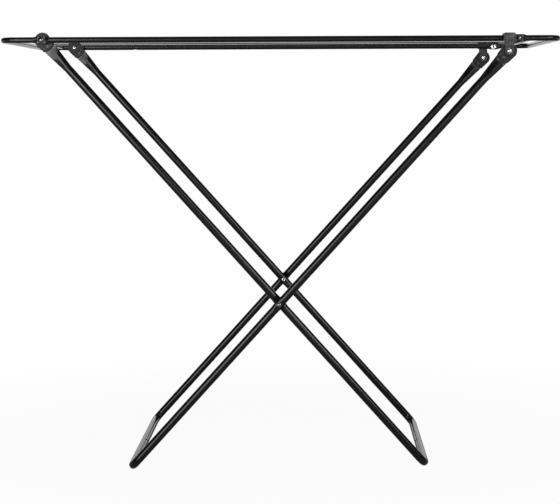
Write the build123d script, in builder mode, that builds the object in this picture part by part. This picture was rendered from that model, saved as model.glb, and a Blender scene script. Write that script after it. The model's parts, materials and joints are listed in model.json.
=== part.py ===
"""Free-standing folding clothes airer: two tubular leg frames crossed in an X under a wired rack.

Millimetres. X runs along the rack, Y across it (near side negative) and Z up. The origin lies on
the floor, midway between the ends and the sides of the rack.
"""

import os
from math import asin, cos, hypot, pi, sin

from build123d import *

os.makedirs("parts", exist_ok=True)

NEAR = -1
FAR = 1
SIDES = {"near": NEAR, "far": FAR}

# Rack frame tube
RACK_LENGTH = 1274.0
RAIL_SPREAD = 530.0
RAIL_HEIGHT = 988.0
RAIL_DIAMETER = 13.0
RAIL_WALL = 1.0
LOOP_RADIUS = 30.0
RAIL_FLAT_WIDTH = 17.5
RAIL_FLAT_THICKNESS = 3.0
RAIL_FLAT_LENGTH = 17.0
RAIL_FLAT_RAMP = 9.0
FLAT_BULGE = 0.05

# Swaged joint that closes the rack frame tube, on the far rail
JOINT_SETBACK = 154.0
JOINT_GAP = 0.6
NECK_LENGTH = 6.0
NECK_DIAMETER = 10.4
PLUG_LENGTH = 64.0
PLUG_CLEARANCE = 0.05

# Wires and the two bars that carry them
CROSS_BAR_DIAMETER = 8.0
CROSS_BAR_GAP = 12.5
CROSS_BAR_BEND_GAP = 22.5
CROSS_BAR_ENTRY = 3.0
WIRE_DIAMETER = 3.0
WIRE_COUNT = 5
WIRE_EDGE_GAP = 36.5
WIRE_OVERHANG = 2.5
HOLE_CLEARANCE = 0.05

# Leg frames
LEG_DIAMETER = 19.0
LEG_WALL = 1.0
LEG_SIDE_GAP = 3.0
LEG_BEND_RADIUS = 24.0
INNER_FOOT_SETBACK = 206.0
OUTER_FOOT_SETBACK = 197.0
EYE_WIDTH = 28.0
EYE_THICKNESS = 3.0
EYE_SHOW = 2.5
FLARE_LENGTH = 55.0
PRESS_WIDTH = 20.4
PRESS_THICKNESS = 16.5
PRESS_LENGTH = 12.0
PRESS_RAMP = 12.0
VENT_DIAMETER = 9.0
VENT_OFFSET = 20.0

# Moulded heads on the leg tops
HEAD_WALL = 3.5
HEAD_SKIRT = 27.5
HEAD_MOUTH_WALL = 1.7
HEAD_CHEEK = 3.5
HEAD_EDGE = 1.6
EYE_CLEARANCE = 0.1

# Clips that snap the right end of the rack to the outer legs
CLIP_STOP_GAP = 3.25
CLIP_HEAD_GAP = 5.0
CLIP_LENGTH = 25.5
CLIP_TOP_WALL = 2.0
CLIP_SKIRT = 0.5
CLIP_LIP_THICKNESS = 2.2
CLIP_LIP_DEPTH = 7.0
CLIP_RAIL_GAP = 1.1
CLIP_SLOT_CLEARANCE = 0.4
CHEEK_THICKNESS = 3.7
CHEEK_GAP = 0.3
TONGUE_WIDTH = 20.0
CLIP_FRONT_STEP = 1.2
CLIP_EDGE = 1.0

# Rivets, bushes and washers
SHANK_DIAMETER = 6.0
SHANK_CLEARANCE = 0.05
FACE_GAP = 0.3
RIVET_HEAD_DIAMETER = 11.0
RIVET_HEAD_HEIGHT = 2.4
RIVET_TAIL_DIAMETER = 9.0
RIVET_TAIL_THICKNESS = 1.6
RIVET_BORE_DIAMETER = 3.2
RIVET_BORE_REACH = 2.5
BUSH_DIAMETER = 14.0
BUSH_EDGE = 0.6
WASHER_DIAMETER = 13.0
WASHER_THICKNESS = 1.2

# Places that follow from the sizes above
RAIL_RADIUS = RAIL_DIAMETER / 2
RAIL_FACE = RAIL_FLAT_THICKNESS / 2 + FLAT_BULGE
PRESS_FACE = PRESS_THICKNESS / 2 + FLAT_BULGE
HEAD_RADIUS = EYE_WIDTH / 2 + HEAD_WALL
HEAD_FACE = EYE_THICKNESS / 2 + HEAD_CHEEK
EYE_LENGTH = HEAD_SKIRT + EYE_SHOW
LEG_OFFSET = RAIL_RADIUS + LEG_SIDE_GAP + LEG_DIAMETER / 2
CHEEK_STACK = HEAD_FACE + CHEEK_GAP + CHEEK_THICKNESS + FACE_GAP
CLIP_OFFSET = RAIL_RADIUS + CLIP_RAIL_GAP + RIVET_TAIL_THICKNESS + CHEEK_STACK
RAIL_Y = RAIL_SPREAD / 2
INNER_Y = RAIL_Y - LEG_OFFSET
OUTER_Y = RAIL_Y + max(LEG_OFFSET, CLIP_OFFSET)
FOOT_Z = LEG_DIAMETER / 2
END_X = RACK_LENGTH / 2 - RAIL_RADIUS
FLAT_REACH = RAIL_FLAT_LENGTH / 2 + RAIL_FLAT_RAMP
CROSS_BAR_REACH = END_X - LOOP_RADIUS - CROSS_BAR_BEND_GAP - CROSS_BAR_DIAMETER / 2
CROSS_BAR_X = {"left": -CROSS_BAR_REACH, "right": CROSS_BAR_REACH}
RIVET_REACH = CROSS_BAR_REACH - CROSS_BAR_DIAMETER / 2 - CROSS_BAR_GAP - max(HEAD_RADIUS, FLAT_REACH)
INNER_PIVOT_X = -RIVET_REACH
STOP_X = RIVET_REACH
JOINT_X = INNER_PIVOT_X + JOINT_SETBACK
INNER_FOOT_X = STOP_X - INNER_FOOT_SETBACK
OUTER_FOOT_X = INNER_PIVOT_X + OUTER_FOOT_SETBACK
CLIP_X = STOP_X - RAIL_FLAT_LENGTH / 2 - CLIP_STOP_GAP - CLIP_LENGTH / 2
CLIP_BOTTOM = RAIL_HEIGHT - RAIL_RADIUS - CLIP_SKIRT
CLIP_PIVOT_Z = CLIP_BOTTOM - CLIP_HEAD_GAP - HEAD_RADIUS
HOLE_DIAMETER = SHANK_DIAMETER + 2 * SHANK_CLEARANCE
Y_AXIS = (0, 1, 0)


class LegFrame:
    """Centre lines of one U-shaped leg frame, seen from the side, with its half width."""

    def __init__(self, top, foot, half_width):
        self.top = top
        self.foot = foot
        self.half_width = half_width
        run = (foot[0] - top[0], foot[1] - top[1])
        self.length = hypot(*run)
        self.down = (run[0] / self.length, run[1] / self.length)

    def point(self, distance, side):
        """Point on a leg's axis, measured down from its top pivot."""
        x = self.top[0] + self.down[0] * distance
        z = self.top[1] + self.down[1] * distance
        return (x, side * self.half_width, z)

    def section_plane(self, distance, side):
        """Plane across a leg, with its x along Y."""
        normal = (self.down[0], 0, self.down[1])
        return Plane(origin=self.point(distance, side), x_dir=Y_AXIS, z_dir=normal)

    def side_plane(self, side):
        """Plane along a leg through its top pivot, with its x down the leg."""
        along = (self.down[0], 0, self.down[1])
        return Plane(origin=self.point(0, side), x_dir=along, z_dir=Y_AXIS)


INNER = LegFrame((INNER_PIVOT_X, RAIL_HEIGHT), (INNER_FOOT_X, FOOT_Z), INNER_Y)
OUTER = LegFrame((CLIP_X, CLIP_PIVOT_Z), (OUTER_FOOT_X, FOOT_Z), OUTER_Y)


def crossing_distances():
    """How far down each leg, from its top pivot, the two legs cross."""
    ax, az = INNER.down
    bx, bz = OUTER.down
    dx = OUTER.top[0] - INNER.top[0]
    dz = OUTER.top[1] - INNER.top[1]
    turn = bx * az - ax * bz
    return (bx * dz - bz * dx) / turn, (ax * dz - az * dx) / turn


INNER_CROSSING, OUTER_CROSSING = crossing_distances()
CROSS_X, _, CROSS_Z = INNER.point(INNER_CROSSING, NEAR)


def save(piece, name):
    """Label a finished piece and write it as its own file."""
    piece.part.label = name
    export_step(piece.part, f"parts/{name}.step")


def tube_section(plane, width, thickness):
    """Face across a tube: round where width equals thickness, else pressed flat along the plane's x."""
    corner_x = thickness / 2
    corner_y = (width - thickness) / 2
    crown = thickness / 2 + FLAT_BULGE
    if width == thickness:
        corner_x = thickness / 2 * cos(pi / 4)
        corner_y = corner_x
        crown = thickness / 2
    with BuildSketch(plane) as section:
        with BuildLine():
            ThreePointArc((corner_x, -corner_y), (crown, 0), (corner_x, corner_y))
            ThreePointArc((corner_x, corner_y), (0, width / 2), (-corner_x, corner_y))
            ThreePointArc((-corner_x, corner_y), (-crown, 0), (-corner_x, -corner_y))
            ThreePointArc((-corner_x, -corner_y), (0, -width / 2), (corner_x, -corner_y))
        make_face()
    return section.sketch.face()


def swept_tube(points, radius, diameter, start_plane):
    """Round bar along straight runs joined by bends."""
    with BuildPart() as run:
        with BuildLine() as path:
            FilletPolyline(*points, radius=radius)
        with BuildSketch(start_plane):
            Circle(diameter / 2)
        sweep(path=path.line)
    return run.part


def leg_run(frame, crossing, inset):
    """One leg frame below its flat eyes, as a bar drawn in by inset all round."""
    round_size = LEG_DIAMETER - 2 * inset
    eye = (EYE_WIDTH - 2 * inset, EYE_THICKNESS - 2 * inset)
    press = (PRESS_WIDTH - 2 * inset, PRESS_THICKNESS - 2 * inset)
    flare_end = EYE_LENGTH + FLARE_LENGTH
    press_top = crossing - PRESS_LENGTH / 2
    press_end = crossing + PRESS_LENGTH / 2
    low = press_end + PRESS_RAMP
    corners = [frame.point(low, NEAR), frame.point(frame.length, NEAR)]
    corners += [frame.point(frame.length, FAR), frame.point(low, FAR)]
    lower = swept_tube(corners, LEG_BEND_RADIUS, round_size, frame.section_plane(low, NEAR))
    with BuildPart() as run:
        add(lower)
        for side in SIDES.values():
            stations = [
                tube_section(frame.section_plane(EYE_LENGTH, side), *eye),
                tube_section(frame.section_plane(flare_end, side), round_size, round_size),
                tube_section(frame.section_plane(press_top - PRESS_RAMP, side), round_size, round_size),
                tube_section(frame.section_plane(press_top, side), *press),
                tube_section(frame.section_plane(press_end, side), *press),
                tube_section(frame.section_plane(low, side), round_size, round_size),
            ]
            loft(sections=stations[0:2])
            extrude(stations[1], amount=press_top - PRESS_RAMP - flare_end)
            loft(sections=stations[2:4])
            extrude(stations[3], amount=PRESS_LENGTH)
            loft(sections=stations[4:6])
    return run.part


def eye_outline(frame, side, clearance, length):
    """Flat eye at a leg's top: round about the pivot and straight down the leg."""
    width = EYE_WIDTH + 2 * clearance
    with BuildSketch(frame.side_plane(side)) as outline:
        Circle(width / 2)
        Rectangle(length, width, align=(Align.MIN, Align.CENTER))
    return outline.sketch


def drill(x, z, diameter):
    """Round cutter right across the airer, along Y."""
    reach = 2 * (OUTER_Y + LEG_DIAMETER)
    with BuildPart() as cutter:
        with BuildSketch(Plane(origin=(x, 0, z), x_dir=(1, 0, 0), z_dir=Y_AXIS)):
            Circle(diameter / 2)
        extrude(amount=reach / 2, both=True)
    return cutter.part


def leg_tube(frame, crossing):
    """Bent tube of one leg frame, with flat eyes, pressed crossings and a vent in the floor bar."""
    with BuildPart() as tube:
        add(leg_run(frame, crossing, 0))
        for side in SIDES.values():
            extrude(eye_outline(frame, side, 0, EYE_LENGTH), amount=EYE_THICKNESS / 2, both=True)
        add(leg_run(frame, crossing, LEG_WALL), mode=Mode.SUBTRACT)
        add(drill(frame.top[0], frame.top[1], HOLE_DIAMETER), mode=Mode.SUBTRACT)
        add(drill(CROSS_X, CROSS_Z, HOLE_DIAMETER), mode=Mode.SUBTRACT)
        inward = (-frame.foot[0] / abs(frame.foot[0]), 0, 1)
        vent = (frame.foot[0], NEAR * VENT_OFFSET, frame.foot[1])
        with BuildSketch(Plane(origin=vent, x_dir=Y_AXIS, z_dir=inward)):
            Circle(VENT_DIAMETER / 2)
        extrude(amount=LEG_DIAMETER, mode=Mode.SUBTRACT)
    return tube


def leg_head(frame, side):
    """Moulded cap over a leg's flat eye, round about the pivot with a skirt down the leg."""
    mouth_half = EYE_WIDTH / 2 + HEAD_MOUTH_WALL
    mouth_x = (HEAD_SKIRT**2 - mouth_half**2) ** 0.5
    with BuildPart() as head:
        with BuildSketch(frame.side_plane(side)):
            with BuildLine():
                Line((0, HEAD_RADIUS), (mouth_x, mouth_half))
                ThreePointArc((mouth_x, mouth_half), (HEAD_SKIRT, 0), (mouth_x, -mouth_half))
                Line((mouth_x, -mouth_half), (0, -HEAD_RADIUS))
                ThreePointArc((0, -HEAD_RADIUS), (-HEAD_RADIUS, 0), (0, HEAD_RADIUS))
            make_face()
        extrude(amount=HEAD_FACE, both=True)
        fillet(head.faces().filter_by(Axis.Y).edges(), radius=HEAD_EDGE)
        pocket = eye_outline(frame, side, EYE_CLEARANCE, HEAD_SKIRT + HEAD_EDGE)
        extrude(pocket, amount=EYE_THICKNESS / 2 + EYE_CLEARANCE, both=True, mode=Mode.SUBTRACT)
        add(drill(frame.top[0], frame.top[1], HOLE_DIAMETER), mode=Mode.SUBTRACT)
    return head


def rivet(x, z, side, tail_seat, head_seat):
    """Semi-tubular rivet along Y: domed head outside, rolled tail with its bore inside."""
    shank = SHANK_DIAMETER / 2
    head = RIVET_HEAD_DIAMETER / 2
    tail = RIVET_TAIL_DIAMETER / 2
    bore = RIVET_BORE_DIAMETER / 2
    tail_end = tail_seat - RIVET_TAIL_THICKNESS
    bore_end = tail_seat + RIVET_BORE_REACH
    crown = head_seat + RIVET_HEAD_HEIGHT
    dome = (head**2 + RIVET_HEAD_HEIGHT**2) / (2 * RIVET_HEAD_HEIGHT)
    half_angle = asin(head / dome) / 2
    dome_middle = (dome * sin(half_angle), crown - dome + dome * cos(half_angle))
    with BuildPart() as piece:
        with BuildSketch(Plane(origin=(x, 0, z), x_dir=(1, 0, 0), z_dir=(0, 0, side))):
            with BuildLine():
                Polyline((0, crown), (0, bore_end), (bore, bore_end), (bore, tail_end), (tail, tail_end))
                Polyline((tail, tail_end), (tail, tail_seat), (shank, tail_seat), (shank, head_seat))
                Line((shank, head_seat), (head, head_seat))
                ThreePointArc((head, head_seat), dome_middle, (0, crown))
            make_face()
        revolve(axis=Axis((x, 0, z), Y_AXIS))
    return piece


def bush(x, z, side, inner_seat, outer_seat):
    """Plain spacer bush on a rivet's shank."""
    with BuildPart() as piece:
        with BuildSketch(Plane(origin=(x, side * inner_seat, z), x_dir=(1, 0, 0), z_dir=(0, side, 0))):
            Circle(BUSH_DIAMETER / 2)
            Circle(HOLE_DIAMETER / 2, mode=Mode.SUBTRACT)
        extrude(amount=outer_seat - inner_seat)
        rims = piece.edges().filter_by(GeomType.CIRCLE).group_by(SortBy.RADIUS)[-1]
        chamfer(rims, length=BUSH_EDGE)
    return piece


def rail_plane(x, side):
    """Plane across a rail, facing +X, with its x along Y."""
    return Plane(origin=(x, side * RAIL_Y, RAIL_HEIGHT), x_dir=Y_AXIS, z_dir=(1, 0, 0))


def rail_span(x_start, x_end, side, size):
    """Round stretch of a rail."""
    return extrude(tube_section(rail_plane(x_start, side), size, size), amount=x_end - x_start)


def rack_run(inset):
    """Rack frame as a bar drawn in by inset: end loops, pressed rivet flats, rails and a swaged joint."""
    size = RAIL_DIAMETER - 2 * inset
    neck = NECK_DIAMETER - 2 * inset
    flat = (RAIL_FLAT_WIDTH - 2 * inset, RAIL_FLAT_THICKNESS - 2 * inset)
    flat_places = {"left": INNER_PIVOT_X, "right": STOP_X}
    left_in = INNER_PIVOT_X + FLAT_REACH
    right_in = STOP_X - FLAT_REACH
    neck_faces = (JOINT_X - JOINT_GAP / 2, JOINT_X + JOINT_GAP / 2)
    loops = []
    for end, x in (("left", INNER_PIVOT_X - FLAT_REACH), ("right", STOP_X + FLAT_REACH)):
        reach = -END_X if end == "left" else END_X
        corners = [(x, -RAIL_Y, RAIL_HEIGHT), (reach, -RAIL_Y, RAIL_HEIGHT)]
        corners += [(reach, RAIL_Y, RAIL_HEIGHT), (x, RAIL_Y, RAIL_HEIGHT)]
        loops.append(swept_tube(corners, LOOP_RADIUS, size, rail_plane(x, NEAR)))
    with BuildPart() as run:
        for loop in loops:
            add(loop)
        for side in SIDES.values():
            for x in flat_places.values():
                stations = [
                    tube_section(rail_plane(x - FLAT_REACH, side), size, size),
                    tube_section(rail_plane(x - RAIL_FLAT_LENGTH / 2, side), *flat),
                    tube_section(rail_plane(x + RAIL_FLAT_LENGTH / 2, side), *flat),
                    tube_section(rail_plane(x + FLAT_REACH, side), size, size),
                ]
                loft(sections=stations[0:2])
                extrude(stations[1], amount=RAIL_FLAT_LENGTH)
                loft(sections=stations[2:4])
        rail_span(left_in, right_in, NEAR, size)
        rail_span(left_in, neck_faces[0] - NECK_LENGTH, FAR, size)
        rail_span(neck_faces[1] + NECK_LENGTH, right_in, FAR, size)
        for face, outward in zip(neck_faces, (-1, 1)):
            wide = tube_section(rail_plane(face + outward * NECK_LENGTH, FAR), size, size)
            narrow = tube_section(rail_plane(face, FAR), neck, neck)
            loft(sections=[wide, narrow])
    return run.part


def cross_bar_cutter(x):
    """Round cutter between the rails where a cross bar enters their inner walls."""
    with BuildPart() as cutter:
        with BuildSketch(Plane(origin=(x, 0, RAIL_HEIGHT), x_dir=(1, 0, 0), z_dir=Y_AXIS)):
            Circle(CROSS_BAR_DIAMETER / 2 + HOLE_CLEARANCE)
        extrude(amount=RAIL_Y, both=True)
    return cutter.part


def rack_frame_tube():
    """The closed rack frame tube with its rivet holes and cross bar holes."""
    with BuildPart() as tube:
        add(rack_run(0))
        add(rack_run(RAIL_WALL), mode=Mode.SUBTRACT)
        for x in (INNER_PIVOT_X, STOP_X):
            add(drill(x, RAIL_HEIGHT, HOLE_DIAMETER), mode=Mode.SUBTRACT)
        for x in CROSS_BAR_X.values():
            add(cross_bar_cutter(x), mode=Mode.SUBTRACT)
    return tube


def joint_plug():
    """Waisted plug inside the swaged joint."""
    wide = RAIL_RADIUS - RAIL_WALL - PLUG_CLEARANCE
    waist = NECK_DIAMETER / 2 - RAIL_WALL - PLUG_CLEARANCE
    half_waist = JOINT_GAP / 2
    shoulder = half_waist + NECK_LENGTH
    half = PLUG_LENGTH / 2
    with BuildPart() as plug:
        with BuildSketch(Plane(origin=(JOINT_X, RAIL_Y, RAIL_HEIGHT), x_dir=(1, 0, 0), z_dir=(0, -1, 0))):
            with BuildLine():
                Polyline((-half, 0), (-half, wide), (-shoulder, wide), (-half_waist, waist))
                Polyline((-half_waist, waist), (half_waist, waist), (shoulder, wide), (half, wide))
                Polyline((half, wide), (half, 0), (-half, 0))
            make_face()
        revolve(axis=Axis((JOINT_X, RAIL_Y, RAIL_HEIGHT), (1, 0, 0)))
    return plug


def wire_places():
    """Y of each wire, evenly spread inside the inner legs."""
    edge = INNER_Y - LEG_DIAMETER / 2 - WIRE_EDGE_GAP
    pitch = 2 * edge / (WIRE_COUNT - 1)
    return [-edge + pitch * index for index in range(WIRE_COUNT)]


def cross_bar(x):
    """Bar between the rails, drilled for the wires."""
    with BuildPart() as bar:
        with BuildSketch(Plane(origin=(x, 0, RAIL_HEIGHT), x_dir=(1, 0, 0), z_dir=Y_AXIS)):
            Circle(CROSS_BAR_DIAMETER / 2)
        extrude(amount=RAIL_Y - RAIL_RADIUS + CROSS_BAR_ENTRY, both=True)
        for y in wire_places():
            with BuildSketch(Plane(origin=(x, y, RAIL_HEIGHT), x_dir=Y_AXIS, z_dir=(1, 0, 0))):
                Circle(WIRE_DIAMETER / 2 + HOLE_CLEARANCE)
            extrude(amount=CROSS_BAR_DIAMETER, both=True, mode=Mode.SUBTRACT)
    return bar


def drying_wire(y):
    """One straight wire through both cross bars."""
    overhang = CROSS_BAR_DIAMETER / 2 + WIRE_OVERHANG
    start = CROSS_BAR_X["left"] - overhang
    end = CROSS_BAR_X["right"] + overhang
    with BuildPart() as wire:
        with BuildSketch(Plane(origin=(start, y, RAIL_HEIGHT), x_dir=Y_AXIS, z_dir=(1, 0, 0))):
            Circle(WIRE_DIAMETER / 2)
        extrude(amount=end - start)
        fillet(wire.edges().filter_by(GeomType.CIRCLE), radius=WIRE_DIAMETER / 4)
    return wire


def rail_clip(side):
    """Moulded clip that hooks over a rail and hangs on the outer leg's head by two cheeks."""
    slot_half = RAIL_RADIUS + CLIP_SLOT_CLEARANCE
    lip_face = RAIL_Y - slot_half - CLIP_LIP_THICKNESS
    inner_cheek = OUTER_Y - HEAD_FACE - CHEEK_GAP
    outer_cheek = OUTER_Y + HEAD_FACE + CHEEK_GAP
    front = outer_cheek + CHEEK_THICKNESS + CLIP_FRONT_STEP
    roof = RAIL_HEIGHT + RAIL_FLAT_WIDTH / 2
    top = roof + CLIP_TOP_WALL
    side_face = Plane(origin=(CLIP_X, 0, 0), x_dir=(1, 0, 0), z_dir=(0, -1, 0))
    with BuildPart() as clip:
        with BuildSketch(Plane(origin=(CLIP_X - CLIP_LENGTH / 2, 0, 0), x_dir=(0, side, 0), z_dir=(side, 0, 0))):
            with BuildLine():
                Polyline(
                    (lip_face, top),
                    (front, top),
                    (front, CLIP_BOTTOM),
                    (outer_cheek, CLIP_BOTTOM),
                    (outer_cheek, roof),
                    (inner_cheek, roof),
                    (inner_cheek, CLIP_BOTTOM),
                    (RAIL_Y + slot_half, CLIP_BOTTOM),
                    (RAIL_Y + slot_half, roof),
                    (RAIL_Y - slot_half, roof),
                    (RAIL_Y - slot_half, roof - CLIP_LIP_DEPTH),
                    (lip_face, roof - CLIP_LIP_DEPTH),
                    close=True,
                )
            make_face()
        extrude(amount=side * CLIP_LENGTH)
        corners = clip.edges().filter_by(Axis.Y).group_by(Axis.Z)[-1]
        fillet(corners, radius=CLIP_EDGE)
        for seat, away in ((inner_cheek, -1), (outer_cheek, 1)):
            with BuildSketch(side_face.offset(-side * seat)):
                with Locations((0, CLIP_PIVOT_Z)):
                    Circle(TONGUE_WIDTH / 2)
                    Rectangle(TONGUE_WIDTH, CLIP_BOTTOM - CLIP_PIVOT_Z, align=(Align.CENTER, Align.MIN))
            extrude(amount=-side * away * CHEEK_THICKNESS)
        add(drill(CLIP_X, CLIP_PIVOT_Z, HOLE_DIAMETER), mode=Mode.SUBTRACT)
    return clip


def stop_washer(side):
    """Washer under the rolled tail of a stop rivet."""
    seat = side * (RAIL_Y - RAIL_FACE)
    with BuildPart() as washer:
        with BuildSketch(Plane(origin=(STOP_X, seat, RAIL_HEIGHT), x_dir=(1, 0, 0), z_dir=(0, -side, 0))):
            Circle(WASHER_DIAMETER / 2)
            Circle(HOLE_DIAMETER / 2, mode=Mode.SUBTRACT)
        extrude(amount=WASHER_THICKNESS)
    return washer


# Leg frames and their heads
save(leg_tube(INNER, INNER_CROSSING), "inner_leg_tube")
save(leg_tube(OUTER, OUTER_CROSSING), "outer_leg_tube")
for side_name, side in SIDES.items():
    save(leg_head(INNER, side), f"inner_leg_head_{side_name}")
    save(leg_head(OUTER, side), f"outer_leg_head_{side_name}")

# Rack: frame tube, joint plug, cross bars and wires
save(rack_frame_tube(), "rack_frame_tube")
save(joint_plug(), "rack_frame_joint_plug")
for end_name, x in CROSS_BAR_X.items():
    save(cross_bar(x), f"cross_bar_{end_name}")
for number, y in enumerate(wire_places(), start=1):
    save(drying_wire(y), f"drying_wire_{number}")

# Rivets, bushes, clips and stops on each side
PIVOT_HEAD_SEAT = RAIL_Y + RAIL_FACE + FACE_GAP
PIVOT_TAIL_SEAT = INNER_Y - HEAD_FACE
SCISSOR_HEAD_SEAT = OUTER_Y + PRESS_FACE + FACE_GAP
SCISSOR_TAIL_SEAT = INNER_Y - PRESS_FACE
CLIP_HEAD_SEAT = OUTER_Y + CHEEK_STACK
CLIP_TAIL_SEAT = OUTER_Y - CHEEK_STACK
STOP_HEAD_SEAT = RAIL_Y + RAIL_FACE
STOP_TAIL_SEAT = RAIL_Y - RAIL_FACE - WASHER_THICKNESS
for side_name, side in SIDES.items():
    pivot = rivet(INNER_PIVOT_X, RAIL_HEIGHT, side, PIVOT_TAIL_SEAT, PIVOT_HEAD_SEAT)
    save(pivot, f"rack_pivot_rivet_{side_name}")
    pivot_bush = bush(INNER_PIVOT_X, RAIL_HEIGHT, side, INNER_Y + HEAD_FACE, RAIL_Y - RAIL_FACE - FACE_GAP)
    save(pivot_bush, f"rack_pivot_bush_{side_name}")
    scissor = rivet(CROSS_X, CROSS_Z, side, SCISSOR_TAIL_SEAT, SCISSOR_HEAD_SEAT)
    save(scissor, f"scissor_rivet_{side_name}")
    scissor_bush = bush(CROSS_X, CROSS_Z, side, INNER_Y + PRESS_FACE, OUTER_Y - PRESS_FACE - FACE_GAP)
    save(scissor_bush, f"scissor_bush_{side_name}")
    save(rail_clip(side), f"rail_clip_{side_name}")
    clip_rivet = rivet(CLIP_X, CLIP_PIVOT_Z, side, CLIP_TAIL_SEAT, CLIP_HEAD_SEAT)
    save(clip_rivet, f"clip_rivet_{side_name}")
    stop = rivet(STOP_X, RAIL_HEIGHT, side, STOP_TAIL_SEAT, STOP_HEAD_SEAT)
    save(stop, f"stop_rivet_{side_name}")
    save(stop_washer(side), f"stop_washer_{side_name}")
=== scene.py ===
import json
from math import cos, radians, sin

import bpy
from mathutils import Matrix, Vector


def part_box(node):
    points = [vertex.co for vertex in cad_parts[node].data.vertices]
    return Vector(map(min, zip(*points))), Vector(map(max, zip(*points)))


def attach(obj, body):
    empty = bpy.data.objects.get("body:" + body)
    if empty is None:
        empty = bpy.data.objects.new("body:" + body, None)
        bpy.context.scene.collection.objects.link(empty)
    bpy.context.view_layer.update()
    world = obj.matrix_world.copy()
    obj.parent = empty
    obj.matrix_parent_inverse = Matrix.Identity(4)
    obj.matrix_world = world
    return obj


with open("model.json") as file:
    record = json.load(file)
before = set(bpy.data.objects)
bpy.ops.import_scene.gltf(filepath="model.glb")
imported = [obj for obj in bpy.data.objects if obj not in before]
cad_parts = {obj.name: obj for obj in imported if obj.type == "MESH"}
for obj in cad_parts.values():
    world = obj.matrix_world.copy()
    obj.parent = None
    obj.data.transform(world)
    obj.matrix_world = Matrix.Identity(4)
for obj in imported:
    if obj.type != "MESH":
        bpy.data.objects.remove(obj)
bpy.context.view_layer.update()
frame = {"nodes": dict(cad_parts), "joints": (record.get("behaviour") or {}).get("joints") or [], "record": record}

# The airer's ways and pieces.
LENGTHWISE = Vector((1, 0, 0))
DEPTHWISE = Vector((0, 1, 0))
UP = Vector((0, 0, 1))
SIDES = ("near", "far")
HANDS = ("left", "right")
RAIL_RADIUS = 0.0065
JOINTS = {joint["name"]: joint for joint in frame["joints"]}
WIRES = sorted(name for name in frame["nodes"] if name.startswith("drying_wire"))
BLACK_RIVETS = ("rack_pivot_rivet", "scissor_rivet", "stop_rivet")

# Camera: its place in metres, its turns in radians, its focal length in pixels of the photograph.
IMAGE_WIDTH = 560
SENSOR_WIDTH = 36.0
FOCAL_PIXELS = 1609.7
CAMERA_PLACE = Vector((0.0806, -3.9285, 0.8477))
CAMERA_YAW = 0.0221
CAMERA_PITCH = 0.0933
CAMERA_ROLL = -0.0035

# Studio: a dim room whose back is a white backdrop that fades out between two angles from straight back.
WHITE = 1.0
ROOM_LEVEL = 0.04
BACKDROP_INNER = cos(radians(30))
BACKDROP_OUTER = cos(radians(55))

# Floor: its share of white glow near the airer, and the distances from the middle over which that share
# rises to 1, to the camera and to mirrored rays. Mirrored rays see the floor's own tone near the airer.
FLOOR_SIZE = 60.0
FLOOR_DROP = 0.0005
FLOOR_TONE = 0.60
FLOOR_GLOW = 0.95
FLOOR_SHADOW_REACH = (0.5, 1.6)
FLOOR_GLOSS_REACH = (1.0, 4.5)

LAMPS = (
    # name, place, point it looks at, width, height, watts
    ("lamp_left", (-1.55, -2.62, 1.00), (-0.2, 0.0, 0.7), 1.7, 1.9, 50.0),
    ("lamp_right", (1.92, -2.02, 1.76), (0.2, 0.0, 0.7), 1.4, 1.2, 36.0),
    ("strip_left", (-1.02, -2.60, 1.00), (-0.6, 0.0, 0.98), 0.16, 0.7, 4.5),
    ("strip_right", (0.96, -2.75, 1.00), (0.6, 0.0, 0.98), 0.16, 0.7, 4.5),
    ("lamp_front", (-0.20, -3.50, 1.45), (0.0, 0.0, 0.9), 0.9, 1.0, 4.4),
    ("lamp_above", (0.0, -0.4, 3.2), (0.0, 0.0, 0.6), 2.6, 1.6, 6.6),
)

# Gloss of the coats and plastics, and the stretch of a noise over which tone and roughness change.
COAT_SPECULAR = 0.29
HEAD_SPECULAR = 0.145
CLIP_SPECULAR = 0.36
TONE_STRETCH = (0.32, 0.68)
ROUGHNESS_STRETCH = (0.3, 0.7)

# How meshes are selected, turned, smoothed and divided.
FACING_UP = 0.9
QUARTER_TURN = radians(90)
SMOOTH_ANGLE = radians(35)
RIB_EDGE_STEPS = 4
RING_SIDES = 48
RING_SECTION_SIDES = 12
BARREL_SIDES = 128
PAD_EDGE_STEPS = 3
PAD_EDGE_ANGLE = radians(40)
BEAD_SIDES = 20
BEAD_SECTION_SIDES = 8

# Moulded trim, in metres, sunk a little into what carries it. Ribs and lugs are given as length, width
# and height.
SUNK = 0.0003
RIB_EDGE = 0.0006
RIB_DRAFT = 0.86
HEAD_HALF = 0.005
RING_RADIUS = 0.0098
RING_WIDTH = 0.0013
RING_FLAT = 0.65
SKIRT_RIB = (0.0105, 0.0018, 0.0007)
SKIRT_RIB_ALONG = 0.0180
SKIRT_RIB_ACROSS = 0.0092
LUG = (0.0072, 0.0072, 0.0009)
LUG_ALONG = 0.0192
CLIP_BLOCK_RISE = 0.0225
CLIP_RIB_WIDTH = 0.0036
CLIP_RIB_HEIGHT = 0.0014
CLIP_RIB_EDGE = 0.0013
CLIP_RIB_STEP = 0.0062
PAD_MARGIN = 0.0026
PAD_CHORD = 0.0150
PAD_HEIGHT = 0.0014
PAD_RISE = 0.0100
PAD_EDGE = 0.0006
TONGUE_RIB_LOW = 0.0085
TONGUE_RIB_TOP_GAP = 0.0006
TONGUE_FACE = 0.0012

# Rolled rims of the rivet tails and pressed rims around the rail's rivet heads, in metres.
TAIL_RING_RADIUS = 0.0030
TAIL_RING_WIDTH = 0.0014
RIVET_HEAD_HEIGHT = 0.0024
PRESSED_RIM_RADIUS = 0.0070
PRESSED_RIM_WIDTH = 0.0014

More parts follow.
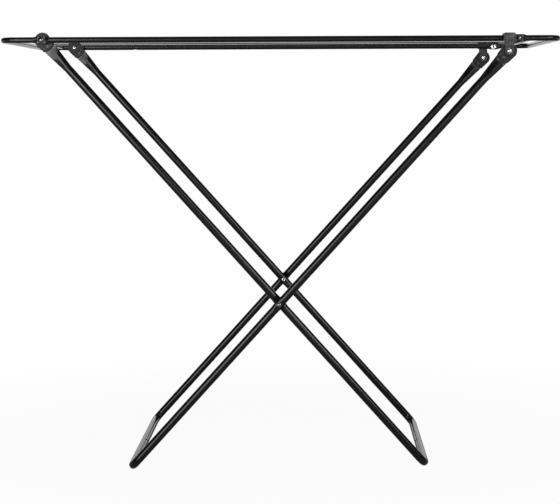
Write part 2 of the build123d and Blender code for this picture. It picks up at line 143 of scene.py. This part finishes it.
# Weld beads, in metres, and how their lumps are spread.
WIRE_BEAD_RADIUS = 0.0019
WIRE_BEAD_SIZE = 0.0007
BAR_BEAD_RADIUS = 0.0045
BAR_BEAD_SIZE = 0.0013
BEAD_LUMPS = 0.00012
BEAD_EVENNESS = 0.6
BEAD_SWELL = 0.4
BEAD_SEED = 7


def both(kind):
    """The near and the far piece of a kind."""
    return [f"{kind}_{side}" for side in SIDES]


def deselect_all():
    bpy.ops.object.select_all(action="DESELECT")


def make_active(piece):
    deselect_all()
    piece.select_set(True)
    bpy.context.view_layer.objects.active = piece


def set_down(piece, place):
    """Turn and move a piece by a matrix, and put that place into its mesh."""
    make_active(piece)
    piece.matrix_world = place
    bpy.ops.object.transform_apply(location=True, rotation=True, scale=True)
    return piece


def copies_at(pattern, places):
    """A copy of a pattern, with its own mesh, at each place. The pattern itself goes."""
    made = []
    for place in places:
        make_active(pattern)
        bpy.ops.object.duplicate(linked=False)
        made.append(set_down(bpy.context.object, place))
    bpy.data.objects.remove(pattern)
    return made


def join_as(name, pieces):
    """Join the pieces to one object with that name."""
    make_active(pieces[0])
    for piece in pieces:
        piece.select_set(True)
    bpy.ops.object.join()
    whole = bpy.context.object
    whole.name = name
    whole.data.name = name
    bpy.ops.object.shade_smooth_by_angle(angle=SMOOTH_ANGLE)
    return whole


def standing(origin, along, out):
    """A matrix that lays X along one direction and stands Z out along another."""
    x_axis = along.normalized()
    z_axis = out.normalized()
    y_axis = z_axis.cross(x_axis)
    turn = Matrix((x_axis, y_axis, z_axis)).transposed().to_4x4()
    return Matrix.Translation(origin) @ turn


def select_facing_up(piece):
    """In edit mode, select the faces of a piece that look along its own Z."""
    bpy.ops.mesh.select_mode(type="FACE")
    bpy.ops.mesh.select_all(action="DESELECT")
    bpy.ops.object.mode_set(mode="OBJECT")
    for face in piece.data.polygons:
        face.select = face.normal.z > FACING_UP
    bpy.ops.object.mode_set(mode="EDIT")


def moulded_rib(length, width, height, edge=RIB_EDGE):
    """A rib on the XY plane, drawn in towards its top as moulds need, with a soft top edge."""
    deselect_all()
    bpy.ops.mesh.primitive_cube_add(size=1, location=(0, 0, (height - SUNK) / 2))
    rib = bpy.context.object
    rib.scale = (length, width, height + SUNK)
    bpy.ops.object.transform_apply(location=True, rotation=True, scale=True)
    bpy.ops.object.mode_set(mode="EDIT")
    select_facing_up(rib)
    bpy.ops.transform.resize(value=(1 - (1 - RIB_DRAFT) * width / length, RIB_DRAFT, 1))
    bpy.ops.mesh.bevel(offset=edge, segments=RIB_EDGE_STEPS, affect="EDGES")
    bpy.ops.object.mode_set(mode="OBJECT")
    return rib


def moulded_ring(radius, width):
    """A flattened ring about Z."""
    deselect_all()
    bpy.ops.mesh.primitive_torus_add(
        major_radius=radius,
        minor_radius=width,
        major_segments=RING_SIDES,
        minor_segments=RING_SECTION_SIDES,
    )
    ring = bpy.context.object
    bpy.ops.object.mode_set(mode="EDIT")
    bpy.ops.mesh.select_all(action="SELECT")
    bpy.ops.transform.resize(value=(1, 1, RING_FLAT))
    bpy.ops.object.mode_set(mode="OBJECT")
    return ring


def barrel_pad(length, chord, height):
    """A pad on the XY plane that swells to a barrel along X, with soft ends."""
    deselect_all()
    radius = (chord * chord / 4 + height * height) / (2 * height)
    bpy.ops.mesh.primitive_cylinder_add(
        vertices=BARREL_SIDES,
        radius=radius,
        depth=length,
        location=(0, 0, height - radius),
        rotation=(0, QUARTER_TURN, 0),
    )
    pad = bpy.context.object
    bpy.ops.object.transform_apply(location=True, rotation=True, scale=True)
    bpy.ops.object.mode_set(mode="EDIT")
    bpy.ops.mesh.select_all(action="SELECT")
    bpy.ops.mesh.bisect(plane_co=(0, 0, -SUNK), plane_no=UP, use_fill=True, clear_inner=True)
    bpy.ops.object.mode_set(mode="OBJECT")
    soft = pad.modifiers.new("soft", "BEVEL")
    soft.width = PAD_EDGE
    soft.segments = PAD_EDGE_STEPS
    soft.angle_limit = PAD_EDGE_ANGLE
    make_active(pad)
    bpy.ops.object.modifier_apply(modifier=soft.name)
    return pad


def weld_bead(radius, size):
    """A lumpy ring of weld about Z."""
    deselect_all()
    bpy.ops.mesh.primitive_torus_add(
        major_radius=radius,
        minor_radius=size,
        major_segments=BEAD_SIDES,
        minor_segments=BEAD_SECTION_SIDES,
    )
    bead = bpy.context.object
    bpy.ops.object.mode_set(mode="EDIT")
    bpy.ops.mesh.select_all(action="SELECT")
    bpy.ops.transform.vertex_random(
        offset=BEAD_LUMPS, uniform=BEAD_EVENNESS, normal=BEAD_SWELL, seed=BEAD_SEED
    )
    bpy.ops.object.mode_set(mode="OBJECT")
    smooth = bead.modifiers.new("smooth", "SUBSURF")
    smooth.levels = 1
    smooth.render_levels = 1
    make_active(bead)
    bpy.ops.object.modifier_apply(modifier=smooth.name)
    return bead


def noise_over(material, scale, detail):
    """Noise over a piece's Object coordinates, with its scale per metre."""
    tree = material.node_tree
    place = tree.nodes.new("ShaderNodeTexCoord")
    noise = tree.nodes.new("ShaderNodeTexNoise")
    noise.inputs["Scale"].default_value = scale
    noise.inputs["Detail"].default_value = detail
    tree.links.new(place.outputs["Object"], noise.inputs["Vector"])
    return noise.outputs["Fac"]


def vary_tone(material, shader, noise, tones):
    """Let the base colour run from a dark tone to a light one."""
    tree = material.node_tree
    ramp = tree.nodes.new("ShaderNodeValToRGB")
    for stop, position, tone in zip(ramp.color_ramp.elements, TONE_STRETCH, tones):
        stop.position = position
        stop.color = (*tone, 1)
    tree.links.new(noise, ramp.inputs["Fac"])
    tree.links.new(ramp.outputs["Color"], shader.inputs["Base Color"])


def vary_roughness(material, shader, noise, levels):
    """Let the roughness run between two levels."""
    tree = material.node_tree
    spread = tree.nodes.new("ShaderNodeMapRange")
    spread.inputs["From Min"].default_value, spread.inputs["From Max"].default_value = ROUGHNESS_STRETCH
    spread.inputs["To Min"].default_value, spread.inputs["To Max"].default_value = levels
    tree.links.new(noise, spread.inputs["Value"])
    tree.links.new(spread.outputs["Result"], shader.inputs["Roughness"])


def raise_grain(material, shader, noise, depth):
    """Fine relief of that depth in metres."""
    tree = material.node_tree
    relief = tree.nodes.new("ShaderNodeBump")
    relief.inputs["Distance"].default_value = depth
    tree.links.new(noise, relief.inputs["Height"])
    tree.links.new(relief.outputs["Normal"], shader.inputs["Normal"])


def surface(name, levels, tones, clouds, roughness, smears, relief, depth):
    """A finish with fixed levels on its sockets, whose tone clouds, gloss smears and relief follow noises.

    Each of the three noises is given as its scale per metre and its detail.
    """
    material = bpy.data.materials.new(name)
    material.use_nodes = True
    shader = material.node_tree.nodes["Principled BSDF"]
    for socket, level in levels.items():
        shader.inputs[socket].default_value = level
    vary_tone(material, shader, noise_over(material, *clouds), tones)
    vary_roughness(material, shader, noise_over(material, *smears), roughness)
    raise_grain(material, shader, noise_over(material, *relief), depth)
    return material


def grey(level):
    return (level, level, level)


def black_powder_coat():
    """Gloss black powder coat with a faint orange peel."""
    return surface(
        "black_powder_coat",
        levels={"Specular IOR Level": COAT_SPECULAR},
        tones=((0.0027, 0.0025, 0.0025), (0.0050, 0.0047, 0.0047)),
        clouds=(30, 4),
        roughness=(0.16, 0.21),
        smears=(60, 3),
        relief=(520, 2),
        depth=0.000004,
    )


def black_wire_coat():
    """Black coat of the wires, a little duller than the tubes' and with a finer mottle."""
    return surface(
        "black_wire_coat",
        levels={"Specular IOR Level": COAT_SPECULAR},
        tones=(grey(0.0027), grey(0.0054)),
        clouds=(60, 3),
        roughness=(0.18, 0.26),
        smears=(160, 4),
        relief=(420, 2),
        depth=0.000005,
    )


def moulded_plastic(name, tones, roughness, specular):
    """Black moulded plastic with the fine spark grain of its mould."""
    return surface(
        name,
        levels={"Specular IOR Level": specular},
        tones=tones,
        clouds=(140, 5),
        roughness=roughness,
        smears=(260, 5),
        relief=(1900, 3),
        depth=0.00003,
    )


def zinc_plate(name, tones):
    """Zinc plate, a little uneven and dulled by handling."""
    return surface(
        name,
        levels={"Metallic": 1.0},
        tones=tones,
        clouds=(320, 5),
        roughness=(0.14, 0.24),
        smears=(520, 5),
        relief=(1300, 3),
        depth=0.00001,
    )


HEAD_TONES = ((0.0100, 0.0100, 0.0105), (0.0170, 0.0170, 0.0176))
HEAD_ROUGHNESS = (0.30, 0.42)
# Lighter copy of the head plastic for the head trim: painted highlight, standing for the light that catches its
# raised lugs, ribs and ring.
HEAD_TRIM_PAINTED_HIGHLIGHT_TONES = (grey(0.029), grey(0.047))
HEAD_TRIM_PAINTED_HIGHLIGHT_ROUGHNESS = (0.26, 0.36)
CLIP_TONES = ((0.0082, 0.0082, 0.0087), (0.0145, 0.0145, 0.0150))
CLIP_ROUGHNESS = (0.24, 0.34)
# Lighter copy of the clip plastic for the pad and ribs: painted highlight, standing for the light on the block's
# swell and the tongue's ribs.
CLIP_TRIM_PAINTED_HIGHLIGHT_TONES = (grey(0.040), grey(0.065))
BUSH_TONES = (grey(0.020), grey(0.032))
BUSH_ROUGHNESS = (0.50, 0.62)
BRIGHT_TONES = ((0.56, 0.56, 0.55), (0.82, 0.82, 0.80))
BLACKENED_TONES = (grey(0.12), grey(0.23))

FINISHES = {
    "black_tube": black_powder_coat(),
    "black_wire": black_wire_coat(),
    "head_plastic": moulded_plastic("head_plastic", HEAD_TONES, HEAD_ROUGHNESS, HEAD_SPECULAR),
    "clip_plastic": moulded_plastic("clip_plastic", CLIP_TONES, CLIP_ROUGHNESS, CLIP_SPECULAR),
    "bush_nylon": moulded_plastic("bush_nylon", BUSH_TONES, BUSH_ROUGHNESS, CLIP_SPECULAR),
    "rivet_zinc": zinc_plate("bright_zinc", BRIGHT_TONES),
}
# Lighter copies of the plastics for the moulded trim: painted highlight on the raised relief.
HEAD_TRIM_PAINTED_HIGHLIGHT = moulded_plastic("worn_head_plastic", HEAD_TRIM_PAINTED_HIGHLIGHT_TONES, HEAD_TRIM_PAINTED_HIGHLIGHT_ROUGHNESS, CLIP_SPECULAR)
CLIP_TRIM_PAINTED_HIGHLIGHT = moulded_plastic("worn_clip_plastic", CLIP_TRIM_PAINTED_HIGHLIGHT_TONES, CLIP_ROUGHNESS, CLIP_SPECULAR)
BLACK_ZINC = zinc_plate("black_zinc", BLACKENED_TONES)


def dress(piece, body, slot, finish=None):
    """Give a new piece its finish, its slot's finish when none is given, and the body it moves with."""
    piece.data.materials.clear()
    piece.data.materials.append(finish or FINISHES[slot])
    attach(piece, body)


def dress_cad_nodes():
    """Give each CAD node its slot's finish, or the blackened plate of some rivets."""
    for row in frame["record"]["subparts"]:
        node = frame["nodes"][row["node"]]
        blackened = row["node"].startswith(BLACK_RIVETS)
        for place in node.material_slots:
            place.material = BLACK_ZINC if blackened else FINISHES[row["material_slot"]]


def joint_place(name, side_y):
    """A joint's place, moved along its axis to one side of the airer."""
    x, _, z = JOINTS[name]["pos_m"]
    return Vector((x, side_y, z))


def middle_of(node):
    low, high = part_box(node)
    return (low + high) / 2


def head_trim(name, head, pivot_joint, body, with_ring):
    """Lug and ribs on both faces of a leg's head, with a ring about the pivot where it has one."""
    side_y = middle_of(head).y
    pivot = joint_place(pivot_joint, side_y)
    down = (joint_place("leg_scissor", side_y) - pivot).normalized()
    lugs = []
    ribs = []
    rings = []
    for facing in (-1, 1):
        out = DEPTHWISE * facing
        face = pivot + out * HEAD_HALF
        across = out.cross(down)
        lugs.append(standing(face + down * LUG_ALONG, down, out))
        for hand in (-1, 1):
            spot = face + down * SKIRT_RIB_ALONG + across * hand * SKIRT_RIB_ACROSS
            ribs.append(standing(spot, down, out))
        rings.append(standing(face, down, out))
    made = copies_at(moulded_rib(*LUG), lugs) + copies_at(moulded_rib(*SKIRT_RIB), ribs)
    if with_ring:
        made += copies_at(moulded_ring(RING_RADIUS, RING_WIDTH), rings)
    # The trim gets the lighter copy of the head plastic, a painted highlight on its raised edges.
    dress(join_as(name, made), body, "head_plastic", HEAD_TRIM_PAINTED_HIGHLIGHT)


def clip_ribs(name, clip, pivot_joint, body):
    """A barrel pad on the outside of a clip's block, and grip ribs on its tongue above the rivet."""
    low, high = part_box(clip)
    outside = -1 if high.y < 0 else 1
    out = DEPTHWISE * outside
    pivot_x, _, pivot_z = JOINTS[pivot_joint]["pos_m"]
    block_y = low.y if outside < 0 else high.y
    block_bottom = pivot_z + CLIP_BLOCK_RISE
    pad = barrel_pad(high.x - low.x - 2 * PAD_MARGIN, PAD_CHORD, PAD_HEIGHT)
    on_block = Vector(((low.x + high.x) / 2, block_y, block_bottom + PAD_RISE))
    made = [set_down(pad, standing(on_block, LENGTHWISE, out))]
    tongue_y = block_y - outside * TONGUE_FACE
    rib_low = pivot_z + TONGUE_RIB_LOW
    rib_length = block_bottom - TONGUE_RIB_TOP_GAP - rib_low
    places = []
    for step in (-1, 0, 1):
        spot = Vector((pivot_x + step * CLIP_RIB_STEP, tongue_y, rib_low + rib_length / 2))
        places.append(standing(spot, UP, out))
    made += copies_at(moulded_rib(rib_length, CLIP_RIB_WIDTH, CLIP_RIB_HEIGHT, CLIP_RIB_EDGE), places)
    # The pad and ribs get the lighter copy of the clip plastic, a painted highlight on the relief.
    dress(join_as(name, made), body, "clip_plastic", CLIP_TRIM_PAINTED_HIGHLIGHT)


def rivet_end(rivet, is_tail):
    """The middle of a rivet's tail or head, and the way it faces. Tails face the middle of the airer."""
    low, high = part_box(rivet)
    end = middle_of(rivet)
    inward = 1 if end.y < 0 else -1
    facing = inward if is_tail else -inward
    end.y = high.y if facing > 0 else low.y
    return end, DEPTHWISE * facing


def rolled_tails(name, rivets, body):
    """Rolled rims on the tails of rivets."""
    places = []
    for rivet in rivets:
        end, facing = rivet_end(rivet, is_tail=True)
        places.append(standing(end, LENGTHWISE, facing))
    made = copies_at(moulded_ring(TAIL_RING_RADIUS, TAIL_RING_WIDTH), places)
    dress(join_as(name, made), body, "rivet_zinc")


def pressed_rims(name, rivets, body):
    """Raised rims that the press leaves on the rail around rivet heads."""
    places = []
    for rivet in rivets:
        end, facing = rivet_end(rivet, is_tail=False)
        places.append(standing(end - facing * RIVET_HEAD_HEIGHT, LENGTHWISE, facing))
    made = copies_at(moulded_ring(PRESSED_RIM_RADIUS, PRESSED_RIM_WIDTH), places)
    dress(join_as(name, made), body, "black_tube")


def wire_welds(name, bar, wires):
    """Weld beads where each wire goes into a cross bar, on both its sides."""
    low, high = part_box(bar)
    places = []
    for wire in wires:
        middle = middle_of(wire)
        for side_x in (low.x, high.x):
            places.append(standing(Vector((side_x, middle.y, middle.z)), UP, LENGTHWISE))
    made = copies_at(weld_bead(WIRE_BEAD_RADIUS, WIRE_BEAD_SIZE), places)
    dress(join_as(name, made), "rack", "black_wire")


def bar_welds(name, bars, rail_node):
    """Weld beads where the cross bars go into the rails."""
    low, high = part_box(rail_node)
    places = []
    for bar in bars:
        middle = middle_of(bar)
        for wall_y in (low.y + 2 * RAIL_RADIUS, high.y - 2 * RAIL_RADIUS):
            places.append(standing(Vector((middle.x, wall_y, middle.z)), UP, DEPTHWISE))
    made = copies_at(weld_bead(BAR_BEAD_RADIUS, BAR_BEAD_SIZE), places)
    dress(join_as(name, made), "rack", "black_tube")


def point_at(thing, target):
    aim = Vector(target) - thing.location
    thing.rotation_euler = aim.to_track_quat("-Z", "Y").to_euler()


def soft_lamps():
    for name, place, target, width, height, watts in LAMPS:
        light = bpy.data.lights.new(name, "AREA")
        light.shape = "RECTANGLE"
        light.size = width
        light.size_y = height
        light.energy = watts
        lamp = bpy.data.objects.new(name, light)
        bpy.context.scene.collection.objects.link(lamp)
        lamp.location = place
        point_at(lamp, target)
        lamp.visible_camera = False


def math_node(tree, operation, first, second):
    """A Math node between two sockets or numbers."""
    node = tree.nodes.new("ShaderNodeMath")
    node.operation = operation
    for socket, value in zip(node.inputs, (first, second)):
        if isinstance(value, (int, float)):
            socket.default_value = value
        else:
            tree.links.new(value, socket)
    return node.outputs[0]


def mirrored_rays(tree, path):
    """1 for rays that metal, gloss and glass send on."""
    return math_node(tree, "MAXIMUM", path.outputs["Is Glossy Ray"], path.outputs["Is Transmission Ray"])


def smooth_rise(tree, value, reach, start):
    """A share that rises from its start to 1 as a value runs over a reach."""
    rise = tree.nodes.new("ShaderNodeMapRange")
    rise.interpolation_type = "SMOOTHSTEP"
    rise.inputs["From Min"].default_value, rise.inputs["From Max"].default_value = reach
    rise.inputs["To Min"].default_value = start
    rise.inputs["To Max"].default_value = 1.0
    tree.links.new(value, rise.inputs["Value"])
    return rise.outputs["Result"]


def white_surround():
    """White to the camera and, at the back of the studio, to mirrored rays; a dim room elsewhere."""
    world = bpy.data.worlds.new("studio")
    bpy.context.scene.world = world
    world.use_nodes = True
    tree = world.node_tree
    background = tree.nodes["Background"]
    background.inputs["Color"].default_value = (*grey(WHITE), 1)
    way = tree.nodes.new("ShaderNodeTexCoord")
    apart = tree.nodes.new("ShaderNodeSeparateXYZ")
    tree.links.new(way.outputs["Generated"], apart.inputs["Vector"])
    at_back = smooth_rise(tree, apart.outputs["Y"], (BACKDROP_OUTER, BACKDROP_INNER), 0.0)
    path = tree.nodes.new("ShaderNodeLightPath")
    mirrored = math_node(tree, "MULTIPLY", mirrored_rays(tree, path), at_back)
    seen = math_node(tree, "MAXIMUM", path.outputs["Is Camera Ray"], mirrored)
    level = math_node(tree, "MAXIMUM", seen, ROOM_LEVEL)
    tree.links.new(level, background.inputs["Strength"])


def pale_floor():
    """A pale floor that keeps the airer's shadow and glows white to the camera, most of all away from it."""
    deselect_all()
    bpy.ops.mesh.primitive_plane_add(size=FLOOR_SIZE, location=(0, 0, -FLOOR_DROP))
    floor = bpy.context.object
    floor.name = "floor"
    material = bpy.data.materials.new("floor_white")
    material.use_nodes = True
    tree = material.node_tree
    tree.nodes.clear()
    matte = tree.nodes.new("ShaderNodeBsdfDiffuse")
    matte.inputs["Color"].default_value = (*grey(FLOOR_TONE), 1)
    glow = tree.nodes.new("ShaderNodeEmission")
    glow.inputs["Strength"].default_value = WHITE
    place = tree.nodes.new("ShaderNodeTexCoord")
    distance = tree.nodes.new("ShaderNodeVectorMath")
    distance.operation = "LENGTH"
    tree.links.new(place.outputs["Object"], distance.inputs[0])
    path = tree.nodes.new("ShaderNodeLightPath")
    to_camera = smooth_rise(tree, distance.outputs["Value"], FLOOR_SHADOW_REACH, FLOOR_GLOW)
    to_gloss = smooth_rise(tree, distance.outputs["Value"], FLOOR_GLOSS_REACH, 0.0)
    seen = math_node(tree, "MULTIPLY", path.outputs["Is Camera Ray"], to_camera)
    mirrored = math_node(tree, "MULTIPLY", mirrored_rays(tree, path), to_gloss)
    mix = tree.nodes.new("ShaderNodeMixShader")
    tree.links.new(math_node(tree, "MAXIMUM", seen, mirrored), mix.inputs["Fac"])
    tree.links.new(matte.outputs[0], mix.inputs[1])
    tree.links.new(glow.outputs[0], mix.inputs[2])
    out = tree.nodes.new("ShaderNodeOutputMaterial")
    tree.links.new(mix.outputs[0], out.inputs["Surface"])
    floor.data.materials.append(material)


def photo_camera():
    """The camera at the photograph's viewing angle."""
    lens = bpy.data.cameras.new("camera")
    lens.sensor_fit = "HORIZONTAL"
    lens.sensor_width = SENSOR_WIDTH
    lens.lens = FOCAL_PIXELS / IMAGE_WIDTH * SENSOR_WIDTH
    camera = bpy.data.objects.new("camera", lens)
    bpy.context.scene.collection.objects.link(camera)
    level = Vector((-sin(CAMERA_YAW), cos(CAMERA_YAW), 0))
    right = Vector((cos(CAMERA_YAW), sin(CAMERA_YAW), 0))
    ahead = level * cos(CAMERA_PITCH) - UP * sin(CAMERA_PITCH)
    top = level * sin(CAMERA_PITCH) + UP * cos(CAMERA_PITCH)
    x_axis = right * cos(CAMERA_ROLL) + top * sin(CAMERA_ROLL)
    y_axis = top * cos(CAMERA_ROLL) - right * sin(CAMERA_ROLL)
    turn = Matrix((x_axis, y_axis, -ahead)).transposed().to_4x4()
    camera.matrix_world = Matrix.Translation(CAMERA_PLACE) @ turn
    bpy.context.scene.camera = camera


bpy.context.scene.view_settings.view_transform = "Standard"
dress_cad_nodes()
for side in SIDES:
    swing = f"clip_{side}_swing"
    head_trim(f"inner_head_trim_{side}", f"inner_leg_head_{side}", "rack_fold", "inner_frame", with_ring=True)
    head_trim(f"outer_head_trim_{side}", f"outer_leg_head_{side}", swing, "outer_frame", with_ring=False)
    clip_ribs(f"clip_ribs_{side}", f"rail_clip_{side}", swing, f"clip_{side}")
rolled_tails("rack_pivot_tails", both("rack_pivot_rivet"), "inner_frame")
rolled_tails("scissor_tails", both("scissor_rivet"), "inner_frame")
rolled_tails("clip_rivet_tails", both("clip_rivet"), "outer_frame")
rolled_tails("stop_tails", both("stop_rivet"), "rack")
pressed_rims("rail_rivet_rims", both("rack_pivot_rivet") + both("stop_rivet"), "rack")
for hand in HANDS:
    wire_welds(f"wire_welds_{hand}", f"cross_bar_{hand}", WIRES)
bar_welds("bar_welds", [f"cross_bar_{hand}" for hand in HANDS], "rack_frame_tube")
white_surround()
pale_floor()
soft_lamps()
photo_camera()
